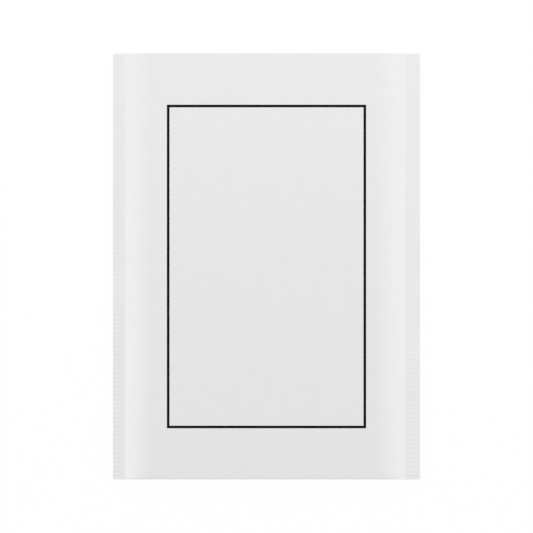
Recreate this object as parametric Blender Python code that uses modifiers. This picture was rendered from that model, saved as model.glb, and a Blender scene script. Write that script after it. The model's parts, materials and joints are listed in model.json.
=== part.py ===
# Padded envelope lying on its back, address side up: X across, Y towards the closing flap, Z up.
# One sheet of white paper makes the flap, the front and the back. It is creased at the mouth,
# folded at the bottom and crimped shut along both sides. A bubble pouch lines it, and the flap
# holds an adhesive strip under a peel-off strip. The origin is on the table, under the middle.
# All sizes are in metres.

import math

import bmesh
import bpy
from mathutils import Vector

# Overall size, edge to edge
WIDTH = 0.200
HEIGHT = 0.2775
PADDED_THICKNESS = 0.0068

# Side seams and the slopes that rise from them to the flat faces
LEFT_SEAM = 0.0078
RIGHT_SEAM = 0.0096
LEFT_SLOPE = 0.0163
RIGHT_SLOPE = 0.0180
LEFT_MARGIN = 0.0029      # plain strip between the ribs and the slope
RIGHT_MARGIN = 0.0015
RIB_PITCH = 0.0029
RIB_DEPTH = 0.0003        # crest to trough
RIB_COVER = 0.00002       # seam left over the two papers in a trough
SEAM_EDGE = 0.0003        # the fused edge stands this far past the papers inside it

# Paper
PAPER = 0.00025
PAPERS_APART = 0.00006    # between front and back inside a seam

# Flap, and the stack of strips between it and the back
FLAP_LENGTH = 0.050
FLAP_TAPER = 0.0040       # each side narrows by this much from the crease to the tip
CREASE_RADIUS = 0.0010    # where the flap leaves the front
WRAP_RADIUS = 0.0024      # where it turns under the back
MOUTH_CLEARANCE = 0.0006  # from the start of that turn to the mouth's edge
ADHESIVE = 0.0002
ADHESIVE_WIDTH = 0.018
ADHESIVE_FROM_TIP = 0.007
ADHESIVE_END = 0.0080     # short of the envelope's sides
PEEL_STRIP = 0.00015
PEEL_OVERHANG = 0.0040    # past the adhesive, towards tip and crease
PEEL_END = 0.0055
STRIP_GAP = 0.0001        # between flap, adhesive and peel strip
BACK_GAP = 0.0002         # between the peel strip and the back
DENT_MARGIN = 0.002       # the back is pressed in this far past the flap's tip
DENT_RAMP = 0.014

# Bubble pouch
POUCH_GAP = 0.0003        # to the paper round it
POUCH_INSET = 0.0015      # from the foot of the slope to its thin edge
POCKET_GAP = 0.0005       # between its two leaves
POCKET_SIDE = 0.0040      # fused edge at each side of the pocket
POCKET_FLOOR = 0.0030     # fused edge at the bottom of the pocket

# Rectangle printed on the address side
PRINT_WIDTH = 0.1293
PRINT_HEIGHT = 0.2104
PRINT_LINE = 0.00125
INK = 0.0001
INK_GAP = 0.00005

# Facets
SLOPE_STEPS = 8
TURN_STEPS = 5
FOLD_STEPS = 10
DENT_STEPS = 5

# Heights and places that follow from the sizes
seam_z = PADDED_THICKNESS / 2
papers_half = PAPER + PAPERS_APART / 2
seam_half = papers_half + RIB_COVER + RIB_DEPTH / 2
flap_stack = PAPER + STRIP_GAP + ADHESIVE + STRIP_GAP + PEEL_STRIP + BACK_GAP
flap_seam_z = seam_z - seam_half - RIB_DEPTH / 2 - flap_stack
left_foot = -WIDTH / 2 + LEFT_SEAM
right_foot = WIDTH / 2 - RIGHT_SEAM
top_y = HEIGHT / 2
bottom_y = -HEIGHT / 2
flap_tip_y = top_y - FLAP_LENGTH
mouth_y = top_y - WRAP_RADIUS - MOUTH_CLEARANCE
dent_start_y = flap_tip_y - DENT_MARGIN - DENT_RAMP
pouch_bottom_y = bottom_y + SEAM_EDGE + PAPER + POUCH_GAP


def clear_scene():
    for obj in list(bpy.data.objects):
        bpy.data.objects.remove(obj)


def new_collection(name):
    collection = bpy.data.collections.new(name)
    bpy.context.scene.collection.children.link(collection)
    return collection


def new_material(name, colour, roughness):
    material = bpy.data.materials.new(name)
    material.use_nodes = True
    shader = material.node_tree.nodes["Principled BSDF"]
    shader.inputs["Base Color"].default_value = (*colour, 1.0)
    shader.inputs["Roughness"].default_value = roughness
    shader.inputs["Metallic"].default_value = 0.0
    return material


# Cross-section: a share of the padded height that is 0 on the seams and 1 on the flat face.
# The paper leaves a seam at its steepest and levels out, so each slope is a quarter sine.
def puff(x):
    from_seam = min((x - left_foot) / LEFT_SLOPE, (right_foot - x) / RIGHT_SLOPE)
    return math.sin(math.pi / 2 * max(0.0, min(1.0, from_seam)))


def blend(at_seam, at_face, x):
    return at_seam + (at_face - at_seam) * puff(x)


def front_z(x):
    return blend(seam_z + papers_half, PADDED_THICKNESS, x)


def flap_z(x):
    return blend(flap_seam_z, 0.0, x)


def dent(y):
    """0 where the back lies on the table, 1 where the flap presses it in."""
    share = max(0.0, min(1.0, (y - dent_start_y) / DENT_RAMP))
    return share * share * (3 - 2 * share)


def back_z(x, y):
    return blend(seam_z - papers_half, flap_stack * dent(y), x)


def columns(low_end, high_end):
    """Places across the envelope: the two ends, and the steps of each slope between them."""
    steps = range(SLOPE_STEPS + 1)
    places = [left_foot + LEFT_SLOPE * step / SLOPE_STEPS for step in steps]
    places += [right_foot - RIGHT_SLOPE * step / SLOPE_STEPS for step in reversed(steps)]
    return [low_end] + [x for x in places if low_end < x < high_end] + [high_end]


def between(start, end, count):
    return [start + (end - start) * step / count for step in range(count + 1)]


def grid_mesh(name, across, rows):
    """A grid with a column at each place in across, and each row set by its own function."""
    bm = bmesh.new()
    last_column = len(across) - 1
    last_row = len(rows) - 1
    bmesh.ops.create_grid(bm, x_segments=last_column, y_segments=last_row, size=0.5)
    for vert in bm.verts:
        column = round((vert.co.x + 0.5) * last_column)
        row = round((vert.co.y + 0.5) * last_row)
        vert.co = rows[row](across[column])
    mesh = bpy.data.meshes.new(name)
    bm.to_mesh(mesh)
    bm.free()
    return mesh


def add_sheet(name, collection, material, across, rows, thickness):
    """Rows run so that the grid faces outwards, and Solidify thickens it inwards."""
    mesh = grid_mesh(name, across, rows)
    mesh.materials.append(material)
    sheet = bpy.data.objects.new(name, mesh)
    collection.objects.link(sheet)
    wall = sheet.modifiers.new("thickness", "SOLIDIFY")
    wall.thickness = thickness
    wall.offset = -1
    wall.use_even_offset = True
    return sheet


def flap_half_width(y):
    """The flap's half width, which narrows towards its tip."""
    share = max(0.0, min(1.0, (top_y - y) / FLAP_LENGTH))
    return WIDTH / 2 - SEAM_EDGE - FLAP_TAPER * share


def flap_row(share):
    """A row of the flap, from its tip at 0 to the start of the wrap at 1."""
    def place(x):
        wrap = wrap_radii(x)[1]
        y = flap_tip_y + (top_y - wrap - flap_tip_y) * share
        half = flap_half_width(y)
        inside = max(-half, min(half, x))
        return Vector((inside, y, flap_z(inside)))
    return place


def wrap_radii(x):
    """Radii of the crease and of the turn under the back, smaller where the envelope is thin."""
    rise = front_z(x) - flap_z(x)
    return min(CREASE_RADIUS, 0.25 * rise), min(WRAP_RADIUS, 0.55 * rise)


def wrap_row(angle):
    """A row of the turn from flap to front: it faces down at -90 degrees and up at 90."""
    def place(x):
        crease, wrap = wrap_radii(x)
        if angle > 0:
            radius, centre_z = crease, front_z(x) - crease
        else:
            radius, centre_z = wrap, flap_z(x) + wrap
        y = top_y - radius + radius * math.cos(angle)
        return Vector((x, y, centre_z + radius * math.sin(angle)))
    return place


def crease_foot(x):
    """Where the crease's arc meets the upright part of the wrap."""
    crease = wrap_radii(x)[0]
    return Vector((x, top_y, front_z(x) - crease))


def fold_radius(x):
    return (front_z(x) - back_z(x, bottom_y)) / 2


def fold_end(x):
    """The bottom edge, a hair inside the fused edge where it runs into a seam."""
    return bottom_y + SEAM_EDGE * (1 - puff(x))


def front_row(share):
    """A row of the front, from the crease at 0 to the bottom fold at 1."""
    def place(x):
        start = top_y - wrap_radii(x)[0]
        end = fold_end(x) + fold_radius(x)
        return Vector((x, start + (end - start) * share, front_z(x)))
    return place


def fold_row(angle):
    """A row of the bottom fold: it faces up at 0 degrees and down at 180."""
    def place(x):
        radius = fold_radius(x)
        y = fold_end(x) + radius - radius * math.sin(angle)
        z = back_z(x, bottom_y) + radius + radius * math.cos(angle)
        return Vector((x, y, z))
    return place


def back_row(y):
    return lambda x: Vector((x, y, back_z(x, y)))


def paper_rows():
    """Rows of the whole sheet: flap, turn at the mouth, front, bottom fold, back."""
    quarter = math.pi / 2
    rows = [flap_row(share) for share in (0.0, 0.5)]
    rows += [wrap_row(angle) for angle in between(-quarter, 0.0, TURN_STEPS)]
    rows += [crease_foot]
    rows += [wrap_row(angle) for angle in between(0.0, quarter, TURN_STEPS)[1:]]
    rows += [front_row(share) for share in between(0.0, 1.0, 4)[1:-1]]
    rows += [fold_row(angle) for angle in between(0.0, math.pi, FOLD_STEPS)]
    rows += [back_row(y) for y in between(bottom_y + PADDED_THICKNESS, dent_start_y, 3)]
    rows += [back_row(y) for y in between(dent_start_y, dent_start_y + DENT_RAMP, DENT_STEPS)[1:]]
    rows += [back_row(mouth_y)]
    return rows


def add_crimp(name, helpers, low_x, high_x):
    """A crimped strip from low_x to high_x: one row of ribs, the same on both faces."""
    end_y = mouth_y + SEAM_EDGE
    rib_count = int((end_y - bottom_y) / RIB_PITCH)
    first_rib = bottom_y + (end_y - bottom_y - rib_count * RIB_PITCH) / 2
    heights = [(bottom_y, 0.0)]
    for rib in range(rib_count):
        for share, side in ((0.15, -0.5), (0.35, -0.5), (0.65, 0.5), (0.85, 0.5)):
            heights.append((first_rib + (rib + share) * RIB_PITCH, side * RIB_DEPTH))
    heights.append((end_y, 0.0))

    def row(y, lift):
        return lambda x: Vector((x, y, seam_z + lift))
    strip = bpy.data.objects.new(name, grid_mesh(name, [low_x, high_x],
                                                 [row(y, lift) for y, lift in heights]))
    helpers.objects.link(strip)
    wall = strip.modifiers.new("thickness", "SOLIDIFY")
    wall.thickness = 2 * seam_half
    wall.offset = 0
    strip.hide_render = True
    strip.display_type = "WIRE"
    return strip


def add_outline_curve(name, collection, outlines, depth):
    """A flat outline in its own XY plane, extruded by depth along its own Z."""
    curve = bpy.data.curves.new(name, "CURVE")
    curve.dimensions = "2D"
    curve.fill_mode = "BOTH"
    curve.extrude = depth / 2
    for outline in outlines:
        spline = curve.splines.new("POLY")
        spline.points.add(len(outline) - 1)
        for point, (across, up) in zip(spline.points, outline):
            point.co = (across, up, 0.0, 1.0)
        spline.use_cyclic_u = True
    obj = bpy.data.objects.new(name, curve)
    collection.objects.link(obj)
    return obj


def join(target, other, operation):
    boolean = target.modifiers.new(other.name, "BOOLEAN")
    boolean.operation = operation
    boolean.solver = "EXACT"
    boolean.object = other


def add_outer_envelope(collection, helpers, material):
    """The folded paper, joined along both sides by its crimped seams."""
    half = WIDTH / 2 - SEAM_EDGE
    across = columns(-half, half)[::-1]
    envelope = add_sheet("outer_envelope", collection, material, across, paper_rows(), PAPER)
    left = add_crimp("left_crimp", helpers, -WIDTH / 2, left_foot - LEFT_MARGIN)
    right = add_crimp("right_crimp", helpers, right_foot + RIGHT_MARGIN, WIDTH / 2)
    join(envelope, left, "UNION")
    join(envelope, right, "UNION")
    return envelope


def add_flap_strip(name, collection, material, tip_side_y, crease_side_y, side, lift, thickness):
    """A strip that lies on the inside of the flap, lift above the flap's outer face."""
    def row(y):
        return lambda x: Vector((x, y, flap_z(x) + lift))
    half = WIDTH / 2 - side
    rows = [row(crease_side_y), row(tip_side_y)]
    across = columns(-half, half)
    return add_sheet(name, collection, material, across, rows, thickness)


def add_adhesive_strip(collection, material):
    tip_side = flap_tip_y + ADHESIVE_FROM_TIP
    lift = PAPER + STRIP_GAP
    return add_flap_strip("adhesive_strip", collection, material, tip_side,
                          tip_side + ADHESIVE_WIDTH, ADHESIVE_END, lift, ADHESIVE)


def add_peel_strip(collection, material):
    tip_side = flap_tip_y + ADHESIVE_FROM_TIP
    lift = PAPER + STRIP_GAP + ADHESIVE + STRIP_GAP
    return add_flap_strip("peel_strip", collection, material, tip_side - PEEL_OVERHANG,
                          tip_side + ADHESIVE_WIDTH + PEEL_OVERHANG, PEEL_END, lift, PEEL_STRIP)


def pouch_z(x, y, paper_z, inwards):
    """A face of the pouch: a gap inside the paper, rounded over at the bottom fold."""
    radius = PADDED_THICKNESS / 2 - PAPER - POUCH_GAP
    from_round = max(0.0, 1 - (y - pouch_bottom_y) / radius)
    share = math.sqrt(1 - from_round ** 2)
    return seam_z + (paper_z + inwards * (PAPER + POUCH_GAP) - seam_z) * share


def pouch_rows():
    """Rows of the pouch's front face, from its rounded bottom to the mouth."""
    radius = PADDED_THICKNESS / 2 - PAPER - POUCH_GAP
    lowest = math.radians(10)
    stations = [pouch_bottom_y + radius * (1 - math.cos(angle))
                for angle in between(lowest, math.pi / 2, FOLD_STEPS // 2)]
    stations += between(dent_start_y, dent_start_y + DENT_RAMP, DENT_STEPS) + [mouth_y]

    def row(y):
        return lambda x: Vector((x, y, pouch_z(x, y, front_z(x), -1)))
    return [row(y) for y in stations]


def add_pocket_cutter(helpers, low_x, high_x):
    """The thin space between the two leaves, which runs out past the mouth."""
    floor_y = pouch_bottom_y + POCKET_FLOOR
    past_mouth_y = mouth_y + POCKET_FLOOR
    bpy.ops.mesh.primitive_cube_add(size=1.0)
    pocket = bpy.context.active_object
    pocket.name = "pocket"
    pocket.dimensions = (high_x - low_x, past_mouth_y - floor_y, POCKET_GAP)
    pocket.location = ((low_x + high_x) / 2, (floor_y + past_mouth_y) / 2, seam_z)
    for owner in list(pocket.users_collection):
        owner.objects.unlink(pocket)
    helpers.objects.link(pocket)
    pocket.hide_render = True
    pocket.display_type = "WIRE"
    return pocket


def add_bubble_pouch(collection, helpers, material):
    """Two padded leaves, joined at the sides and the bottom, open at the mouth."""
    low_x = left_foot + POUCH_INSET
    high_x = right_foot - POUCH_INSET
    mesh = grid_mesh("bubble_pouch", columns(low_x, high_x), pouch_rows())
    bm = bmesh.new()
    bm.from_mesh(mesh)
    extruded = bmesh.ops.extrude_face_region(bm, geom=bm.faces[:])["geom"]
    for vert in [item for item in extruded if isinstance(item, bmesh.types.BMVert)]:
        x, y = vert.co.x, vert.co.y
        vert.co.z = pouch_z(x, y, back_z(x, y), 1)
    bmesh.ops.recalc_face_normals(bm, faces=bm.faces)
    bm.to_mesh(mesh)
    bm.free()
    mesh.materials.append(material)
    pouch = bpy.data.objects.new("bubble_pouch", mesh)
    collection.objects.link(pouch)
    join(pouch, add_pocket_cutter(helpers, low_x + POCKET_SIDE, high_x - POCKET_SIDE),
         "DIFFERENCE")
    return pouch


def rectangle(width, height):
    return [(-width / 2, -height / 2), (width / 2, -height / 2),
            (width / 2, height / 2), (-width / 2, height / 2)]


def add_printed_frame(collection, material):
    """The ink of the printed rectangle, a thin ring on the flat of the front."""
    inner = rectangle(PRINT_WIDTH - 2 * PRINT_LINE, PRINT_HEIGHT - 2 * PRINT_LINE)
    outlines = [rectangle(PRINT_WIDTH, PRINT_HEIGHT), inner]
    frame = add_outline_curve("printed_frame", collection, outlines, INK)
    frame.location = (0.0, 0.0, PADDED_THICKNESS + INK_GAP + INK / 2)
    frame.data.materials.append(material)
    return frame


def main():
    clear_scene()
    collection = new_collection("padded_envelope")
    helpers = new_collection("helpers")
    white_paper = new_material("white_paper", (0.80, 0.80, 0.80), 0.75)
    bubble_film = new_material("bubble_film", (0.82, 0.85, 0.87), 0.25)
    adhesive = new_material("adhesive", (0.84, 0.80, 0.66), 0.35)
    peel_paper = new_material("peel_paper", (0.86, 0.86, 0.84), 0.30)
    black_ink = new_material("black_ink", (0.004, 0.004, 0.004), 0.60)
    envelope = add_outer_envelope(collection, helpers, white_paper)
    pouch = add_bubble_pouch(collection, helpers, bubble_film)
    adhesive_strip = add_adhesive_strip(collection, adhesive)
    peel_strip = add_peel_strip(collection, peel_paper)
    add_printed_frame(collection, black_ink)
    for sheet in (envelope, pouch, adhesive_strip, peel_strip):
        sheet.data.shade_smooth()
        sheet.data.set_sharp_from_angle(angle=math.radians(40))


main()
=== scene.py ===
# White padded mailing envelope, lying on its back under soft light.
# The paper is cut flat, scored, ribbed and folded, as it is made. X runs across it, Y along it
# towards the flap's crease, Z up. Metres.

import json
import math

import bmesh
import bpy
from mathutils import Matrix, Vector

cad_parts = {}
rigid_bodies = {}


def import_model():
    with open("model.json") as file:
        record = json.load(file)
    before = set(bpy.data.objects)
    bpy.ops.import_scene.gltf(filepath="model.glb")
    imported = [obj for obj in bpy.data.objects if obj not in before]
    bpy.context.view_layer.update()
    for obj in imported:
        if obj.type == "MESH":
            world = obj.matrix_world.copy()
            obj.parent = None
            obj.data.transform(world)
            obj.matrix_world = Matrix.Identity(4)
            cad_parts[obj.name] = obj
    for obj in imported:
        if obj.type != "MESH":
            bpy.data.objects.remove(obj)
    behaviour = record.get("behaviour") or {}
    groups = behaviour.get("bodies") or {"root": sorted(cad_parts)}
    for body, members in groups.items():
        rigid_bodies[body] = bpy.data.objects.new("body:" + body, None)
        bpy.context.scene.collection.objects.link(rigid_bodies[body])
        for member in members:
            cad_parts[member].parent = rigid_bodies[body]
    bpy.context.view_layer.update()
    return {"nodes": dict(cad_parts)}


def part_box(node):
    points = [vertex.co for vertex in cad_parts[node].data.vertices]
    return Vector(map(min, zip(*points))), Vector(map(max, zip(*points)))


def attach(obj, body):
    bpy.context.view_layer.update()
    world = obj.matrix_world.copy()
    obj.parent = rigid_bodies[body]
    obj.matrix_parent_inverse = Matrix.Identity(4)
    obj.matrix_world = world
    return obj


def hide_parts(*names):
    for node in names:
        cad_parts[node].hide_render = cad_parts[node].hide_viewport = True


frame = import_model()
print("frame loaded:", ", ".join(sorted(frame["nodes"])))


# The envelope's form, shared by the paper, the pouch and the print

form = {
    "leftBand": 0.0078,       # crimped seams
    "rightBand": 0.0096,
    "leftSlope": 0.0176,      # where the padding rises from the seams
    "rightSlope": 0.0200,
    "paper": 0.00018,
    "papersApart": 0.00024,   # the open space between them, inside the seams
    "flapLength": 0.050,
    "flapTaper": 0.0040,
    "flapLeftSlope": 0.0163,  # a little shorter than the padding's
    "flapRightSlope": 0.0180,
    "flapStack": 0.0010,      # flap, glue and peel strip under the back
    "flapDrop": 0.0016,       # from the seam's middle to the flap's outer face
    "creaseRadius": 0.0004,
    "creaseShare": 0.25,      # of the rise from flap to front, at most
    "wrapRadius": 0.0024,
    "wrapShare": 0.55,
    "mouthGap": 0.0006,
    "dentMargin": 0.002,      # the back is pressed in a little past the flap's tip
    "dentRamp": 0.014,
    "foldDepth": 0.0015,      # how far the bottom fold's round reaches in
    "foldDepthAtSeam": 0.0003,
    "endEase": 0.0085,        # the padding thins before the bottom fold
    "endSlope": 8.0,          # degrees, where the fold's round begins
    "leftDroop": 0.00012,     # the seams hang a little towards their edges
    "leftDroopReach": 0.0029,
    "rightDroop": 0.00055,
    "rightDroopReach": 0.0096,
}

# slow unevenness of the flat faces and of the seams, which dies away at both ends
waves = {
    "faceHeight": 0.00014,
    "faceWaves": (            # length across, length along, shift, share
        (0.118, 0.171, 0.7, 1.0),
        (0.083, -0.127, 2.1, 0.7),
        (0.209, 0.094, 4.0, 0.8),
    ),
    "bandHeight": 0.00022,
    "bandLength": 0.096,
    "shortLength": 0.041,
    "shortShare": 0.5,
    "sideShift": 1.1,         # so that the two seams differ
    "stillAbove": 0.08,       # beside the flap the seams lie straight
    "stillReach": 0.03,
    "endReach": 0.02,
}

# faint lengthwise streaks on the slopes
streaks = {
    "pitch": 0.0046,
    "height": 0.000012,
    "sway": 0.35,             # sideways, in streaks
    "swayLength": 0.11,
    "quiver": 0.2,
    "quiverScale": 0.007,
    "endReach": 0.012,
}

paperLow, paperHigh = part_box("outer_envelope")
padTop = paperHigh.z
seamZ = padTop / 2
leftEdge, rightEdge = paperLow.x, paperHigh.x
leftFoot = leftEdge + form["leftBand"]
rightFoot = rightEdge - form["rightBand"]
topY, bottomY = paperHigh.y, -paperHigh.y
flapTipY = topY - form["flapLength"]
mouthY = topY - form["wrapRadius"] - form["mouthGap"]
papersHalf = form["paper"] + form["papersApart"] / 2


def clampShare(value):
    return max(0.0, min(1.0, value))


def smoothShare(value):
    share = clampShare(value)
    return share * share * (3 - 2 * share)


def quarterSine(x, leftSlope, rightSlope):
    rise = min((x - leftFoot) / leftSlope, (rightFoot - x) / rightSlope)
    return math.sin(math.pi / 2 * clampShare(rise))


def padShare(x):
    # 0 on the seams, 1 on the flat face
    return quarterSine(x, form["leftSlope"], form["rightSlope"])


def slowWave(x, y):
    # long shallow waves that cross, from -1 to 1
    height, most = 0.0, 0.0
    for across, along, shift, share in waves["faceWaves"]:
        height += share * math.sin(2 * math.pi * (x / across + y / along) + shift)
        most += share
    return height / most


def endFade(y, reach):
    # 0 at the bottom fold and the top crease, 1 beyond reach
    return smoothShare(min(topY - y, y - bottomY) / reach)


def faceSink(x, y):
    depth = waves["faceHeight"] * (slowWave(x, y) + 1) / 2
    return depth * padShare(x) ** 2 * endFade(y, waves["endReach"])


def bandLift(x, y):
    side = -1 if x < 0 else 1
    wave = math.sin(2 * math.pi * y / waves["bandLength"] + waves["sideShift"] * side)
    wave += waves["shortShare"] * math.sin(2 * math.pi * y / waves["shortLength"])
    edgeShare = clampShare(max((leftFoot - x) / form["leftBand"], (x - rightFoot) / form["rightBand"]))
    wander = waves["bandHeight"] * wave / (1 + waves["shortShare"]) * endFade(y, waves["endReach"])
    wander *= smoothShare((waves["stillAbove"] - y) / waves["stillReach"])
    droop = (form["leftDroop"] * clampShare((leftFoot - x) / form["leftDroopReach"])
             + form["rightDroop"] * clampShare((x - rightFoot) / form["rightDroopReach"]))
    return wander * edgeShare - droop


def slopeStreak(x, y):
    onSlope = 4 * padShare(x) * (1 - padShare(x))      # 0 at both ends of a slope, 1 half-way up
    turn = x / streaks["pitch"] + streaks["sway"] * math.sin(2 * math.pi * y / streaks["swayLength"])
    turn += streaks["quiver"] * math.sin(y / streaks["quiverScale"])
    return streaks["height"] * onSlope * math.sin(2 * math.pi * turn) * endFade(y, streaks["endReach"])


def halfThickness(x):
    return papersHalf + (seamZ - papersHalf) * padShare(x)


def endSlope(x):
    return math.radians(form["endSlope"]) * padShare(x) ** 3


def foldSize(x):
    # half height and depth of the fold's flattened round
    high = halfThickness(x) - math.tan(endSlope(x)) * form["endEase"] / 2
    return high, min(high, form["foldDepthAtSeam"] + form["foldDepth"] * padShare(x))


def onFold(x, tilt):
    # how far in from the fold's edge and how far up the paper is, where it has this tilt
    high, deep = foldSize(x)
    turn = math.atan2(deep * math.sin(tilt), high * math.cos(tilt))
    return deep * (1 - math.sin(turn)), high * math.cos(turn)


def foldStart(x):
    return bottomY + onFold(x, endSlope(x))[0]


def endThinning(x, y):
    share = clampShare((foldStart(x) + form["endEase"] - y) / form["endEase"])
    return math.tan(endSlope(x)) * form["endEase"] / 2 * share * share


def frontZ(x, y):
    low = seamZ + papersHalf
    rest = low + (padTop - low) * padShare(x)
    return rest - endThinning(x, y) - faceSink(x, y) + bandLift(x, y) + slopeStreak(x, y)


def flapZ(x):
    share = quarterSine(x, form["flapLeftSlope"], form["flapRightSlope"])
    return (seamZ - form["flapDrop"]) * (1 - share)


def dentShare(y):
    start = flapTipY - form["dentMargin"] - form["dentRamp"]
    return smoothShare((y - start) / form["dentRamp"])


def backZ(x, y):
    low = seamZ - papersHalf
    rest = low + (form["flapStack"] * dentShare(y) - low) * padShare(x)
    lifted = faceSink(-x, -y) * (1 - dentShare(y))
    return rest + endThinning(x, y) + lifted + bandLift(x, y) + slopeStreak(x, y)


# Small tools for edit mode

def deselectEverything():
    if bpy.context.mode != "OBJECT":
        bpy.ops.object.mode_set(mode="OBJECT")
    for obj in bpy.context.view_layer.objects:
        obj.select_set(False)


def openForEditing(obj, parts="EDGE"):
    deselectEverything()
    bpy.context.view_layer.objects.active = obj
    obj.select_set(True)
    bpy.ops.object.mode_set(mode="EDIT")
    bpy.ops.mesh.select_mode(type=parts)
    bpy.ops.mesh.select_all(action="DESELECT")


def closeEditing():
    bpy.ops.object.mode_set(mode="OBJECT")


def scoreLine(axis, place):
    # cuts the flat sheet that is being edited right across, at x or y = place
    bpy.ops.mesh.select_all(action="SELECT")
    point = (place, 0, 0) if axis == 0 else (0, place, 0)
    normal = (1, 0, 0) if axis == 0 else (0, 1, 0)
    bpy.ops.mesh.bisect(plane_co=point, plane_no=normal)


def divideZone(obj, axis, low, high, cuts, stripLow=-math.inf, stripHigh=math.inf):
    # divides the edges that run along axis between low and high, inside a strip across it
    bpy.ops.mesh.select_all(action="DESELECT")
    bm = bmesh.from_edit_mesh(obj.data)
    across = 1 - axis
    near = 1e-6
    for edge in bm.edges:
        first, second = edge.verts[0].co, edge.verts[1].co
        runs = abs(first[axis] - second[axis]) > near and abs(first[across] - second[across]) < near
        inZone = all(low - near < point[axis] < high + near for point in (first, second))
        inStrip = stripLow - near < first[across] < stripHigh + near
        edge.select_set(runs and inZone and inStrip)
    bmesh.update_edit_mesh(obj.data)
    bpy.ops.mesh.subdivide(number_cuts=cuts, ngon=True)


def applyModifiers(obj):
    deselectEverything()
    bpy.context.view_layer.objects.active = obj
    obj.select_set(True)
    for modifier in list(obj.modifiers):
        bpy.ops.object.modifier_apply(modifier=modifier.name)


def smoothByAngle(obj, degrees):
    deselectEverything()
    bpy.context.view_layer.objects.active = obj
    obj.select_set(True)
    bpy.ops.object.shade_smooth_by_angle(angle=math.radians(degrees))


def sharpenLine(obj, places, lowZ):
    # keeps the creases at these x places crisp, also where they are shallow
    near = 2e-5
    steepest = 0.1            # rise for each length of the edges that count
    openForEditing(obj)
    bm = bmesh.from_edit_mesh(obj.data)
    for edge in bm.edges:
        first, second = edge.verts[0].co, edge.verts[1].co
        onLine = any(abs(first.x - x) < near and abs(second.x - x) < near for x in places)
        lengthwise = steepest * abs(first.y - second.y) > abs(first.z - second.z)
        edge.select_set(onLine and lengthwise and min(first.z, second.z) > lowZ)
    bmesh.update_edit_mesh(obj.data)
    bpy.ops.mesh.mark_sharp()
    closeEditing()


# Materials

def newMaterial(name):
    material = bpy.data.materials.new(name)
    material.use_nodes = True
    tree = material.node_tree
    return material, tree, tree.nodes["Principled BSDF"]


def giveMaterial(piece, material):
    piece.data.materials.clear()
    piece.data.materials.append(material)


def addNode(tree, kind, **settings):
    node = tree.nodes.new(kind)
    for key, value in settings.items():
        setattr(node, key, value)
    return node


felt = {
    "fibreAngles": (20, -35, 80),      # degrees
    "fibreStretch": 6.0,
    "fibreDetail": 2.0,
    "fibreRange": (0.4, 0.75),
    "cloudAngle": 4,
    "cloudStretch": 1.5,
    "cloudDetail": 3.0,
    "cloudRange": (0.3, 0.7),
    "cloudShare": 0.65,                # of the tone, the rest comes from the fibres
    "roughnessSpread": 0.06,
}


def makePaperGroup():
    # felted fibres, cloudy formation and a slight cockle, as in machine-made paper
    group = bpy.data.node_groups.new("paperFibres", "ShaderNodeTree")
    for name in ("Fibre Width", "Cloud Size"):
        group.interface.new_socket(name=name, in_out="INPUT", socket_type="NodeSocketFloat")
    for name in ("Tone", "Height", "Cockle"):
        group.interface.new_socket(name=name, in_out="OUTPUT", socket_type="NodeSocketFloat")
    inward = group.nodes.new("NodeGroupInput")
    outward = group.nodes.new("NodeGroupOutput")
    place = group.nodes.new("ShaderNodeTexCoord")

    def noiseOf(sizeName, detail, angle, stretch):
        turned = group.nodes.new("ShaderNodeMapping")
        turned.vector_type = "TEXTURE"
        turned.inputs["Rotation"].default_value = (0, 0, math.radians(angle))
        turned.inputs["Scale"].default_value = (stretch, 1, 1)
        group.links.new(place.outputs["Object"], turned.inputs["Vector"])
        perMetre = addNode(group, "ShaderNodeMath", operation="DIVIDE")
        perMetre.inputs[0].default_value = 1.0
        group.links.new(inward.outputs[sizeName], perMetre.inputs[1])
        noise = group.nodes.new("ShaderNodeTexNoise")
        noise.inputs["Detail"].default_value = detail
        group.links.new(turned.outputs["Vector"], noise.inputs["Vector"])
        group.links.new(perMetre.outputs[0], noise.inputs["Scale"])
        return noise.outputs["Fac"]

    def stretched(value, low, high):
        spread = group.nodes.new("ShaderNodeMapRange")
        spread.inputs["From Min"].default_value = low
        spread.inputs["From Max"].default_value = high
        group.links.new(value, spread.inputs["Value"])
        return spread.outputs["Result"]

    layers = [noiseOf("Fibre Width", felt["fibreDetail"], angle, felt["fibreStretch"])
              for angle in felt["fibreAngles"]]
    fibres = layers[0]
    for layer in layers[1:]:
        upper = addNode(group, "ShaderNodeMath", operation="MAXIMUM")
        group.links.new(fibres, upper.inputs[0])
        group.links.new(layer, upper.inputs[1])
        fibres = upper.outputs[0]
    fibres = stretched(fibres, *felt["fibreRange"])
    clouds = noiseOf("Cloud Size", felt["cloudDetail"], felt["cloudAngle"], felt["cloudStretch"])
    clouds = stretched(clouds, *felt["cloudRange"])
    mixed = addNode(group, "ShaderNodeMix", data_type="FLOAT")
    mixed.inputs[0].default_value = felt["cloudShare"]
    group.links.new(fibres, mixed.inputs[2])
    group.links.new(clouds, mixed.inputs[3])
    group.links.new(mixed.outputs[0], outward.inputs["Tone"])
    group.links.new(fibres, outward.inputs["Height"])
    group.links.new(clouds, outward.inputs["Cockle"])
    return group


paperFibres = makePaperGroup()


def tintBy(tree, mask, look, shader):
    # from the look's shade where the mask is 0 to its light where it is 1
    tint = addNode(tree, "ShaderNodeMix", data_type="RGBA")
    tint.inputs[6].default_value = (*look["shade"], 1.0)
    tint.inputs[7].default_value = (*look["light"], 1.0)
    tree.links.new(mask, tint.inputs[0])
    tree.links.new(tint.outputs[2], shader.inputs["Base Color"])


def roughenBy(tree, mask, low, high, shader):
    rough = tree.nodes.new("ShaderNodeMapRange")
    rough.inputs["To Min"].default_value = low
    rough.inputs["To Max"].default_value = high
    tree.links.new(mask, rough.inputs["Value"])
    tree.links.new(rough.outputs["Result"], shader.inputs["Roughness"])


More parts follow.
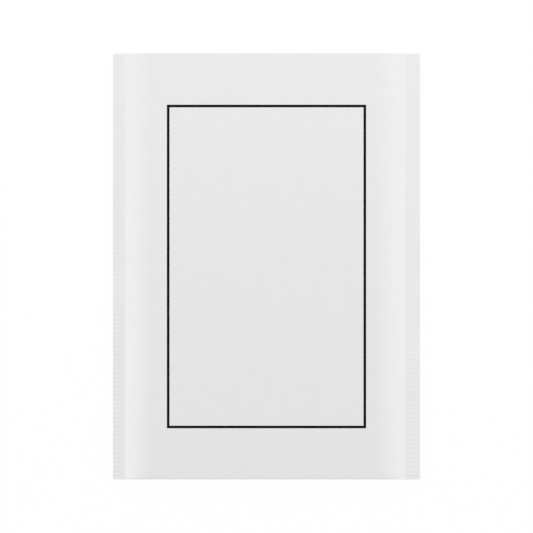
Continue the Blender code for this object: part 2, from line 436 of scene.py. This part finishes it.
def makePaperMaterial(name, look):
    material, tree, shader = newMaterial(name)
    fibres = tree.nodes.new("ShaderNodeGroup")
    fibres.node_tree = paperFibres
    fibres.inputs["Fibre Width"].default_value = look["fibreWidth"]
    fibres.inputs["Cloud Size"].default_value = look["cloudSize"]
    tintBy(tree, fibres.outputs["Tone"], look, shader)
    rough, spread = look["roughness"], felt["roughnessSpread"]
    roughenBy(tree, fibres.outputs["Tone"], rough - spread, rough + spread, shader)
    cockle = tree.nodes.new("ShaderNodeBump")
    cockle.inputs["Distance"].default_value = look["cockleHeight"]
    tree.links.new(fibres.outputs["Cockle"], cockle.inputs["Height"])
    bump = tree.nodes.new("ShaderNodeBump")
    bump.inputs["Distance"].default_value = look["fibreHeight"]
    tree.links.new(fibres.outputs["Height"], bump.inputs["Height"])
    tree.links.new(cockle.outputs["Normal"], bump.inputs["Normal"])
    tree.links.new(bump.outputs["Normal"], shader.inputs["Normal"])
    shader.inputs["Specular IOR Level"].default_value = look["specular"]
    return material


whitePaperLook = {
    "shade": (0.790, 0.790, 0.790),
    "light": (0.810, 0.810, 0.810),
    "fibreWidth": 0.00015,
    "cloudSize": 0.0065,
    "fibreHeight": 0.0000075,
    "cockleHeight": 0.00004,
    "roughness": 0.78,
    "specular": 0.25,
}

inkLook = {
    "shade": (0.002, 0.002, 0.002),
    "light": (0.005, 0.005, 0.005),
    "fibreWidth": 0.00013,
    "cloudSize": 0.006,
    "fibreHeight": 0.000005,
    "cockleHeight": 0.00001,
    "roughness": 0.7,
    "specular": 0.08,
}

peelPaperLook = {
    "shade": (0.84, 0.84, 0.81),
    "light": (0.88, 0.88, 0.86),
    "fibreWidth": 0.0004,
    "cloudSize": 0.015,
    "fibreHeight": 0.000003,
    "cockleHeight": 0.00002,
    "roughness": 0.34,
    "specular": 0.5,
}

whitePaper = makePaperMaterial("whitePaper", whitePaperLook)
blackInk = makePaperMaterial("blackInk", inkLook)
peelPaper = makePaperMaterial("peelPaper", peelPaperLook)
print("paper materials made")


# The outer envelope: one sheet, cut flat, scored, folded and crimped

sheetCuts = {
    "band": 5,
    "slope": 17,
    "face": 23,
    "flap": 7,
    "arc": 9,
    "upright": 2,
    "panel": 47,          # front and back, before the ribs are divided
    "panelEnds": 5,       # more in their rows beside a fold
    "bottomFold": 15,
    "perRibStep": 23,     # extra rows in the seams, for each row of the panel
    "rowsInside": 0.0001, # the rows at the panel's ends keep clear of the seams' own
}

paperFinish = {
    "smoothAngle": 11,    # degrees
    "footAbove": 0.0025,  # where the padding ends is a crisp line on the front and back, not on the flap
}

ribs = {
    "pitch": 0.0029,
    "depth": 0.00025,
    "leftFull": 0.0004,   # full depth up to here from the paper's edge, none past the next
    "leftNone": 0.0066,
    "rightFull": 0.0056,
    "rightNone": 0.0104,
    "endFade": 0.0012,
    "uneven": 0.25,       # from rib to rib
    "skew": 0.10,         # how far they lean, in ribs
    "unevenBeats": (2.4, 1.13),
    "beatShare": 0.7,     # how much the second beat adds
    "skewLength": 0.043,
    "pastMouth": 0.0003,
    "leftShares": ((-0.14, 1.1), (0.0, 1.0), (0.09, 0.32), (0.14, 0.2)),   # y, share of the depth
    "rightShares": ((-0.14, 0.8), (0.0, 0.36), (0.09, 0.15), (0.14, 0.1)),
}

ribEndY = mouthY + ribs["pastMouth"]
ribCount = int((ribEndY - bottomY) / ribs["pitch"])
firstRibY = bottomY + (ribEndY - bottomY - ribCount * ribs["pitch"]) / 2


def ribShare(y, shares):
    for (lowY, low), (highY, high) in zip(shares, shares[1:]):
        if y <= highY:
            return low + (high - low) * clampShare((y - lowY) / (highY - lowY))
    return shares[-1][1]


def ribLift(x, y):
    fromEdge = min(x - leftEdge, rightEdge - x)
    side, name = (1, "left") if x < 0 else (2, "right")
    full, none = ribs[name + "Full"], ribs[name + "None"]
    share = (1 - smoothShare((fromEdge - full) / (none - full))) * ribShare(y, ribs[name + "Shares"])
    fromEnd = min(ribEndY - y, y - bottomY) - form["foldDepthAtSeam"]
    ends = smoothShare(fromEnd / ribs["endFade"])
    number = math.floor((y - firstRibY) / ribs["pitch"])
    beat, otherBeat = ribs["unevenBeats"]
    uneven = math.sin(beat * number + side) + ribs["beatShare"] * math.sin(otherBeat * number + 2 * side)
    share *= 1 + ribs["uneven"] * uneven
    lean = ribs["skew"] * math.sin(2 * math.pi * y / ribs["skewLength"] + side)
    turn = 2 * math.pi * ((y - firstRibY) / ribs["pitch"] + lean * fromEdge / form["leftBand"])
    return -ribs["depth"] / 2 * math.sin(turn) * share * ends


def topZ(x):
    return frontZ(x, topY)


def wrapRadii(x):
    rise = topZ(x) - flapZ(x)
    crease = min(form["creaseRadius"], form["creaseShare"] * rise)
    return crease, min(form["wrapRadius"], form["wrapShare"] * rise)


def placeFlap(x, share):
    wrap = wrapRadii(x)[1]
    y = flapTipY + (topY - wrap - flapTipY) * share
    taper = form["flapTaper"] * clampShare((topY - y) / form["flapLength"])
    if x < leftFoot:
        x += taper * (leftFoot - x) / form["leftBand"]
    if x > rightFoot:
        x -= taper * (x - rightFoot) / form["rightBand"]
    return Vector((x, y, flapZ(x)))


def placeWrap(x, share):
    wrap = wrapRadii(x)[1]
    angle = math.pi / 2 * share
    y = topY - wrap + wrap * math.sin(angle)
    return Vector((x, y, flapZ(x) + wrap - wrap * math.cos(angle)))


def placeUpright(x, share):
    crease, wrap = wrapRadii(x)
    low, high = flapZ(x) + wrap, topZ(x) - crease
    return Vector((x, topY, low + (high - low) * share))


def placeCrease(x, share):
    crease = wrapRadii(x)[0]
    angle = math.pi / 2 * share
    y = topY - crease + crease * math.cos(angle)
    return Vector((x, y, topZ(x) - crease + crease * math.sin(angle)))


def placeFront(x, share):
    start = topY - wrapRadii(x)[0]
    end = foldStart(x)
    y = start + (end - start) * share
    return Vector((x, y, frontZ(x, y) + ribLift(x, y)))


def placeBottomFold(x, share):
    tilt = endSlope(x) + (math.pi - 2 * endSlope(x)) * share
    inward, upward = onFold(x, tilt)
    return Vector((x, bottomY + inward, seamZ + bandLift(x, bottomY) + upward))


def placeBack(x, share):
    start = foldStart(x)
    y = start + (mouthY - start) * share
    return Vector((x, y, backZ(x, y) + ribLift(x, y)))


# stretches of the sheet from the flap's tip to the mouth's other edge, with their flat lengths
padRadius = padTop / 2
stretches = [
    ("flap", placeFlap, form["flapLength"] - form["wrapRadius"]),
    ("arc", placeWrap, math.pi / 2 * form["wrapRadius"]),
    ("upright", placeUpright, padTop - form["wrapRadius"] - form["creaseRadius"]),
    ("arc", placeCrease, math.pi / 2 * form["creaseRadius"]),
    ("panel", placeFront, topY - form["creaseRadius"] - bottomY - padRadius),
    ("bottomFold", placeBottomFold, math.pi * padRadius),
    ("panel", placeBack, mouthY - bottomY - padRadius),
]
flatLength = sum(length for _, _, length in stretches)


def makePaper():
    width = rightEdge - leftEdge
    deselectEverything()
    bpy.ops.mesh.primitive_plane_add(size=1.0)
    paper = bpy.context.active_object
    paper.name = "foldedPaper"
    openForEditing(paper)
    bpy.ops.mesh.select_all(action="SELECT")
    bpy.ops.transform.resize(value=(width, flatLength, 1))
    bpy.ops.transform.translate(value=((leftEdge + rightEdge) / 2, flatLength / 2, 0))

    leftTop = leftFoot + form["leftSlope"]
    rightTop = rightFoot - form["rightSlope"]
    heel = rightEdge - ribs["rightNone"]       # the ribs run out just up the slope
    for x in (leftFoot, leftTop, rightTop, heel, rightFoot):
        scoreLine(0, x)
    start = 0.0
    for _, _, length in stretches[:-1]:
        start += length
        scoreLine(1, start)
    divideZone(paper, 0, leftEdge, leftFoot, sheetCuts["band"])
    divideZone(paper, 0, leftFoot, leftTop, sheetCuts["slope"])
    divideZone(paper, 0, leftTop, rightTop, sheetCuts["face"])
    divideZone(paper, 0, rightTop, heel, sheetCuts["slope"])
    divideZone(paper, 0, rightFoot, rightEdge, sheetCuts["band"])
    inside = sheetCuts["rowsInside"]
    start = 0.0
    for zone, _, length in stretches:
        end = start + length
        divideZone(paper, 1, start, end, sheetCuts[zone])
        if zone == "panel":
            divideZone(paper, 1, start, end, sheetCuts["perRibStep"], leftEdge, leftFoot)
            divideZone(paper, 1, start, end, sheetCuts["perRibStep"], heel, rightEdge)
            row = length / (sheetCuts["panel"] + 1)
            middle = (leftFoot + inside, heel - inside)
            for low in (start, end - row):
                divideZone(paper, 1, low, low + row, sheetCuts["panelEnds"], *middle)
        start = end
    bpy.ops.mesh.select_all(action="DESELECT")
    bpy.ops.mesh.select_mode(type="FACE")
    bpy.ops.mesh.select_face_by_sides(number=4, type="GREATER")
    bpy.ops.mesh.poke()              # where fine rows meet coarse ones
    bpy.ops.mesh.select_all(action="SELECT")
    bpy.ops.mesh.flip_normals()      # the sheet's upper side goes inside
    closeEditing()
    print("paper scored:", len(paper.data.vertices), "points")

    for vertex in paper.data.vertices:
        x, along = vertex.co.x, vertex.co.y
        start = 0.0
        for index, (_, place, length) in enumerate(stretches):
            if along <= start + length or index == len(stretches) - 1:
                vertex.co = place(x, clampShare((along - start) / length))
                break
            start += length
    wall = paper.modifiers.new("paper thickness", "SOLIDIFY")
    wall.thickness = form["paper"]
    wall.offset = -1
    wall.use_even_offset = True
    applyModifiers(paper)
    smoothByAngle(paper, paperFinish["smoothAngle"])
    sharpenLine(paper, (leftFoot, rightFoot), paperFinish["footAbove"])
    giveMaterial(paper, whitePaper)
    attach(paper, "root")
    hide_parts("outer_envelope")
    print("paper folded:", len(paper.data.polygons), "faces")


makePaper()


# The printed frame: ink that follows the paper

printFrame = {
    "width": 0.12948,
    "height": 0.21028,
    "line": 0.00167,
    "above": 0.00002,
    "ink": 0.00004,
    "cuts": 60,
}


def makePrintFrame():
    deselectEverything()
    bpy.ops.mesh.primitive_plane_add(size=1.0)
    ink = bpy.context.active_object
    ink.name = "inkFrame"
    openForEditing(ink, "FACE")
    bpy.ops.mesh.select_all(action="SELECT")
    bpy.ops.transform.resize(value=(printFrame["width"], printFrame["height"], 1))
    bpy.ops.mesh.inset(thickness=printFrame["line"], depth=0)
    bpy.ops.mesh.delete(type="FACE")          # the inset leaves the middle selected
    bpy.ops.mesh.select_mode(type="EDGE")
    cornerReach = printFrame["line"] * 2      # longer edges run along the line
    for axis in (0, 1):
        bpy.ops.mesh.select_all(action="DESELECT")
        bm = bmesh.from_edit_mesh(ink.data)
        for edge in bm.edges:
            first, second = edge.verts[0].co, edge.verts[1].co
            edge.select_set(abs(first[axis] - second[axis]) > cornerReach)
        bmesh.update_edit_mesh(ink.data)
        bpy.ops.mesh.subdivide(number_cuts=printFrame["cuts"])
    closeEditing()
    for vertex in ink.data.vertices:
        x, y = vertex.co.x, vertex.co.y
        vertex.co.z = frontZ(x, y) + printFrame["above"] + printFrame["ink"]
    wall = ink.modifiers.new("ink thickness", "SOLIDIFY")
    wall.thickness = printFrame["ink"]
    wall.offset = -1
    applyModifiers(ink)
    giveMaterial(ink, blackInk)
    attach(ink, "root")
    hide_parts("printed_frame")
    print("print laid:", len(ink.data.polygons), "faces")


makePrintFrame()


# The bubble pouch inside: a folded film with rows of air bubbles on its outer side

pouchLow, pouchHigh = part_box("bubble_pouch")

bubbleFilm = {
    "film": 0.00012,
    "pocket": 0.0005,         # between the two leaves
    "sideSeal": 0.004,
    "sealGap": 0.00002,       # from the middle to each leaf, at the sealed sides
    "sealCuts": 3,
    "acrossCuts": 23,
    "alongCuts": 40,
    "foldCuts": 7,
    "smoothAngle": 50,        # degrees
}

bubbles = {
    "radius": 0.0046,
    "pitch": 0.0104,
    "clear": 0.0003,          # to the paper
    "lowest": 0.0009,         # none is made where there is less room
    "sides": 12,
    "shoulder": 0.45,         # of the bubble's height
    "rings": (                # share of the radius, rise over the ring below in shoulders
        (0.86, 0.62),
        (0.55, 0.28),
        (0.2, 0.1),
    ),
    "firstRow": 0.0012,       # margins to the film's edges
    "firstColumn": 0.0015,
    "lastColumn": 0.001,
    "foldReach": 0.0027,      # bubbles are lower beside the fold
    "foldShare": 0.4,         # how far in their height is taken, of the radius
}


def leafHeight(x, y, upper):
    # room for a bubble between the film and the paper
    filmTop = seamZ + bubbleFilm["pocket"] / 2 + bubbleFilm["film"]
    filmLow = 2 * seamZ - filmTop
    if upper:
        return frontZ(x, y) - form["paper"] - bubbles["clear"] - filmTop
    return filmLow - (backZ(x, y) + form["paper"] + bubbles["clear"])


def makeFilm():
    # the flat film is folded in two at the bottom, like the paper
    lowX, highX = pouchLow.x, pouchHigh.x
    endY = pouchLow.y
    leaf = mouthY - endY
    radius = bubbleFilm["pocket"] / 2 + bubbleFilm["film"]
    bend = math.pi * radius
    bendStart = leaf - radius
    bendEnd = bendStart + bend
    length = bendEnd + bendStart
    deselectEverything()
    bpy.ops.mesh.primitive_plane_add(size=1.0)
    film = bpy.context.active_object
    film.name = "bubbleFilm"
    openForEditing(film)
    bpy.ops.mesh.select_all(action="SELECT")
    bpy.ops.transform.resize(value=(highX - lowX, length, 1))
    bpy.ops.transform.translate(value=((lowX + highX) / 2, length / 2, 0))
    seal = bubbleFilm["sideSeal"]
    for x in (lowX + seal, highX - seal):
        scoreLine(0, x)
    for y in (bendStart, bendEnd):
        scoreLine(1, y)
    divideZone(film, 0, lowX, lowX + seal, bubbleFilm["sealCuts"])
    divideZone(film, 0, highX - seal, highX, bubbleFilm["sealCuts"])
    divideZone(film, 0, lowX + seal, highX - seal, bubbleFilm["acrossCuts"])
    divideZone(film, 1, 0.0, bendStart, bubbleFilm["alongCuts"])
    divideZone(film, 1, bendStart, bendEnd, bubbleFilm["foldCuts"])
    divideZone(film, 1, bendEnd, length, bubbleFilm["alongCuts"])
    closeEditing()
    for vertex in film.data.vertices:
        x, along = vertex.co.x, vertex.co.y
        inside = smoothShare(min(x - lowX, highX - x) / seal)
        spread = bubbleFilm["film"] + bubbleFilm["sealGap"] + (radius - bubbleFilm["film"]) * inside
        if along < bendStart:
            vertex.co = (x, mouthY - along, seamZ + spread)
        elif along > bendEnd:
            vertex.co = (x, endY + radius + along - bendEnd, seamZ - spread)
        else:
            angle = math.pi * (along - bendStart) / bend
            vertex.co = (x, endY + radius - radius * math.sin(angle), seamZ + spread * math.cos(angle))
    wall = film.modifiers.new("film thickness", "SOLIDIFY")
    wall.thickness = bubbleFilm["film"]
    wall.offset = -1
    applyModifiers(film)
    return film


def makeBubble():
    # a squat drum with a rounded top, 1 m high so that each copy takes its own height
    deselectEverything()
    bpy.ops.mesh.primitive_cylinder_add(vertices=bubbles["sides"], radius=bubbles["radius"],
                                        depth=1.0, location=(0, 0, 0.5))
    bubble = bpy.context.active_object
    bubble.name = "oneBubble"
    openForEditing(bubble, "FACE")
    bm = bmesh.from_edit_mesh(bubble.data)
    facingUp = 0.9                             # the least upward share of such a face's normal
    for face in bm.faces:
        face.select_set(face.normal.z > facingUp)
    bmesh.update_edit_mesh(bubble.data)
    shoulder = bubbles["shoulder"]
    bpy.ops.transform.translate(value=(0, 0, -shoulder))
    for share, lift in bubbles["rings"]:
        bpy.ops.mesh.extrude_region_move(TRANSFORM_OT_translate={"value": (0, 0, shoulder * lift)})
        bm = bmesh.from_edit_mesh(bubble.data)
        for vertex in bm.verts:
            if vertex.select:
                away = Vector((vertex.co.x, vertex.co.y)).normalized()
                vertex.co.x, vertex.co.y = away * bubbles["radius"] * share
        bmesh.update_edit_mesh(bubble.data)
    closeEditing()
    bubble.data.transform(bubble.matrix_world)
    bubble.matrix_world.identity()
    return bubble


def bubbleHeight(x, y, upper):
    reach = bubbles["radius"]
    around = ((0, 0), (reach, 0), (-reach, 0), (0, reach), (0, -reach))
    room = min(leafHeight(x + dx, y + dy, upper) for dx, dy in around)
    fromFold = clampShare((y - reach * bubbles["foldShare"] - pouchLow.y) / bubbles["foldReach"])
    return room * math.sqrt(fromFold * (2 - fromFold))


def bubblePlaces():
    # rows set off by half a pitch, on both leaves
    pitch, reach = bubbles["pitch"], bubbles["radius"]
    rowGap = pitch * math.sqrt(3) / 2
    rows = int((mouthY - pouchLow.y - 2 * reach) / rowGap) + 1
    columns = int((pouchHigh.x - pouchLow.x) / pitch)
    places = []
    for upper in (True, False):
        for row in range(rows):
            y = pouchLow.y + reach + bubbles["firstRow"] + row * rowGap
            offset = pitch / 2 if row % 2 else 0.0
            for column in range(columns):
                x = pouchLow.x + reach + bubbles["firstColumn"] + offset + column * pitch
                if x + reach > pouchHigh.x - bubbles["lastColumn"]:
                    continue
                height = bubbleHeight(x, y, upper)
                if height >= bubbles["lowest"]:
                    places.append((x, y, upper, height))
    return places


def makeBubblePouch():
    pouch = makeFilm()
    bubble = makeBubble()
    halfFilm = bubbleFilm["film"] / 2
    shape = [tuple(vertex.co) for vertex in bubble.data.vertices]
    faces = [tuple(face.vertices) for face in bubble.data.polygons]
    places = bubblePlaces()
    bm = bmesh.new()
    for x, y, upper, height in places:
        side = 1 if upper else -1              # the lower ones are turned over
        filmZ = seamZ + side * (bubbleFilm["pocket"] / 2 + halfFilm)
        lift = side * (height + halfFilm)
        made = [bm.verts.new((x + px, y + side * py, filmZ + pz * lift)) for px, py, pz in shape]
        for face in faces:
            bm.faces.new([made[index] for index in face])
    crowd = bpy.data.objects.new("allBubbles", bpy.data.meshes.new("allBubbles"))
    bpy.context.scene.collection.objects.link(crowd)
    bm.to_mesh(crowd.data)
    bm.free()
    weld = pouch.modifiers.new("bubbles welded on", "BOOLEAN")
    weld.operation = "UNION"
    weld.solver = "EXACT"
    weld.object = crowd
    applyModifiers(pouch)
    bpy.data.objects.remove(crowd)
    bpy.data.objects.remove(bubble)
    pouch.name = "bubblePouch"
    smoothByAngle(pouch, bubbleFilm["smoothAngle"])
    print("bubbles placed:", len(places), "pouch faces:", len(pouch.data.polygons))
    return pouch


filmLook = {
    "shade": (0.80, 0.84, 0.87),
    "light": (0.86, 0.88, 0.90),
    "hazeScale": 90.0,        # for each metre
    "hazeDetail": 3.0,
    "clearest": 0.16,         # roughness
    "haziest": 0.34,
    "seeThrough": 0.6,
    "ior": 1.49,
}


def makeFilmMaterial():
    material, tree, shader = newMaterial("bubbleFilm")
    place = tree.nodes.new("ShaderNodeTexCoord")
    haze = tree.nodes.new("ShaderNodeTexNoise")
    haze.inputs["Scale"].default_value = filmLook["hazeScale"]
    haze.inputs["Detail"].default_value = filmLook["hazeDetail"]
    tree.links.new(place.outputs["Object"], haze.inputs["Vector"])
    tintBy(tree, haze.outputs["Fac"], filmLook, shader)
    roughenBy(tree, haze.outputs["Fac"], filmLook["clearest"], filmLook["haziest"], shader)
    shader.inputs["Transmission Weight"].default_value = filmLook["seeThrough"]
    shader.inputs["IOR"].default_value = filmLook["ior"]
    return material


bubblePouch = makeBubblePouch()
giveMaterial(bubblePouch, makeFilmMaterial())
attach(bubblePouch, "root")
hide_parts("bubble_pouch")


# Glue and peel strip keep their solids and get their finishes

glueLook = {
    "shade": (0.80, 0.75, 0.58),
    "light": (0.88, 0.85, 0.72),
    "drawnOut": (0.12, 1.0, 1.0),     # the scale along the flap, across it and up
    "threadScale": 900.0,             # for each metre
    "threadDetail": 3.0,
    "threadHeight": 0.00005,
    "threadStrength": 0.4,
    "roughness": 0.3,
}


def makeGlueMaterial():
    material, tree, shader = newMaterial("flapGlue")
    place = tree.nodes.new("ShaderNodeTexCoord")
    drawn = tree.nodes.new("ShaderNodeMapping")
    drawn.inputs["Scale"].default_value = glueLook["drawnOut"]
    threads = tree.nodes.new("ShaderNodeTexNoise")
    threads.inputs["Scale"].default_value = glueLook["threadScale"]
    threads.inputs["Detail"].default_value = glueLook["threadDetail"]
    tree.links.new(place.outputs["Object"], drawn.inputs["Vector"])
    tree.links.new(drawn.outputs["Vector"], threads.inputs["Vector"])
    tintBy(tree, threads.outputs["Fac"], glueLook, shader)
    bump = tree.nodes.new("ShaderNodeBump")
    bump.inputs["Strength"].default_value = glueLook["threadStrength"]
    bump.inputs["Distance"].default_value = glueLook["threadHeight"]
    tree.links.new(threads.outputs["Fac"], bump.inputs["Height"])
    tree.links.new(bump.outputs["Normal"], shader.inputs["Normal"])
    shader.inputs["Roughness"].default_value = glueLook["roughness"]
    return material


giveMaterial(frame["nodes"]["adhesive_strip"], makeGlueMaterial())
giveMaterial(frame["nodes"]["peel_strip"], peelPaper)
print("flap strips finished")


# Floor, light and camera

studio = {
    "floorSize": 8.0,
    "floorDrop": 0.0002,       # just under the envelope
    "floorRoughness": 0.9,
    "floorColour": 0.97,
    "floorWhite": 0.95,        # share of plain white that the camera sees
    "world": 0.872,
    "topLightPlace": (0.06, 0.75, 0.45),
    "topLightSize": 0.40,
    "topLightPower": 1.70,
    "sideLightPlace": (0.42, -0.12, 0.015),
    "sideLightSize": (0.40, 0.02),
    "sideLightPower": 0.56,
}


def seenShare(tree, share):
    # share for what the camera, a gloss or a see-through piece shows, 0 for what lights the object
    paths = tree.nodes.new("ShaderNodeLightPath")
    seen = paths.outputs["Is Camera Ray"]
    for name in ("Is Glossy Ray", "Is Transmission Ray"):
        either = addNode(tree, "ShaderNodeMath", operation="MAXIMUM")
        tree.links.new(seen, either.inputs[0])
        tree.links.new(paths.outputs[name], either.inputs[1])
        seen = either.outputs[0]
    shared = addNode(tree, "ShaderNodeMath", operation="MULTIPLY")
    shared.inputs[1].default_value = share
    tree.links.new(seen, shared.inputs[0])
    return shared.outputs[0]


def makeFloor():
    deselectEverything()
    bpy.ops.mesh.primitive_plane_add(size=studio["floorSize"], location=(0, 0, -studio["floorDrop"]))
    floor = bpy.context.active_object
    floor.name = "studioFloor"
    material, tree, shader = newMaterial("studioFloor")
    shader.inputs["Base Color"].default_value = (*[studio["floorColour"]] * 3, 1.0)
    shader.inputs["Roughness"].default_value = studio["floorRoughness"]
    shader.inputs["Specular IOR Level"].default_value = 0.0
    white = tree.nodes.new("ShaderNodeEmission")
    white.inputs["Strength"].default_value = 1.0
    mixed = tree.nodes.new("ShaderNodeMixShader")
    tree.links.new(seenShare(tree, studio["floorWhite"]), mixed.inputs[0])
    tree.links.new(shader.outputs[0], mixed.inputs[1])
    tree.links.new(white.outputs[0], mixed.inputs[2])
    tree.links.new(mixed.outputs[0], tree.nodes["Material Output"].inputs["Surface"])
    floor.data.materials.append(material)


def makeWorld():
    world = bpy.data.worlds.new("softWorld")
    bpy.context.scene.world = world
    world.use_nodes = True
    tree = world.node_tree
    light = tree.nodes["Background"]
    light.inputs["Color"].default_value = (1, 1, 1, 1)
    light.inputs["Strength"].default_value = studio["world"]
    white = tree.nodes.new("ShaderNodeBackground")
    white.inputs["Color"].default_value = (1, 1, 1, 1)
    white.inputs["Strength"].default_value = 1.0
    mixed = tree.nodes.new("ShaderNodeMixShader")
    tree.links.new(seenShare(tree, 1.0), mixed.inputs[0])
    tree.links.new(light.outputs[0], mixed.inputs[1])
    tree.links.new(white.outputs[0], mixed.inputs[2])
    tree.links.new(mixed.outputs[0], tree.nodes["World Output"].inputs["Surface"])


def makeAreaLight(name, place, aim, size, power):
    light = bpy.data.lights.new(name, "AREA")
    light.shape = "RECTANGLE"
    light.size, light.size_y = size
    light.energy = power
    lamp = bpy.data.objects.new(name, light)
    bpy.context.scene.collection.objects.link(lamp)
    lamp.location = place
    lamp.rotation_euler = (Vector(aim) - Vector(place)).to_track_quat("-Z", "Y").to_euler()
    lamp.visible_camera = False
    return lamp


def makeLights():
    size = studio["topLightSize"]
    makeAreaLight("topLight", studio["topLightPlace"], (0, 0, 0), (size, size), studio["topLightPower"])
    lit = bpy.data.collections.new("litFromTheSides")     # all but the floor, which they nearly touch
    for obj in bpy.context.scene.objects:
        if obj.type == "MESH" and obj.name != "studioFloor":
            lit.objects.link(obj)
    x, y, z = studio["sideLightPlace"]
    for side in (-1, 1):
        lamp = makeAreaLight("sideLight", (side * x, y, z), (0, y, z), studio["sideLightSize"],
                             studio["sideLightPower"])
        lamp.light_linking.receiver_collection = lit


view = {
    "lens": 150.0,
    "sensor": 36.0,
    "fieldWidth": 0.34723,     # what the frame spans at the seams' height
    "farthest": 20.0,
}


def makeCamera():
    data = bpy.data.cameras.new("camera")
    camera = bpy.data.objects.new("camera", data)
    bpy.context.scene.collection.objects.link(camera)
    data.lens = view["lens"]
    data.sensor_width = view["sensor"]
    data.clip_end = view["farthest"]
    distance = view["fieldWidth"] * view["lens"] / view["sensor"]
    camera.location = (0, 0, seamZ + distance)      # unturned, it looks straight down
    bpy.context.scene.camera = camera


makeFloor()
makeWorld()
makeLights()
makeCamera()
bpy.context.scene.view_settings.view_transform = "Standard"
print("studio set")
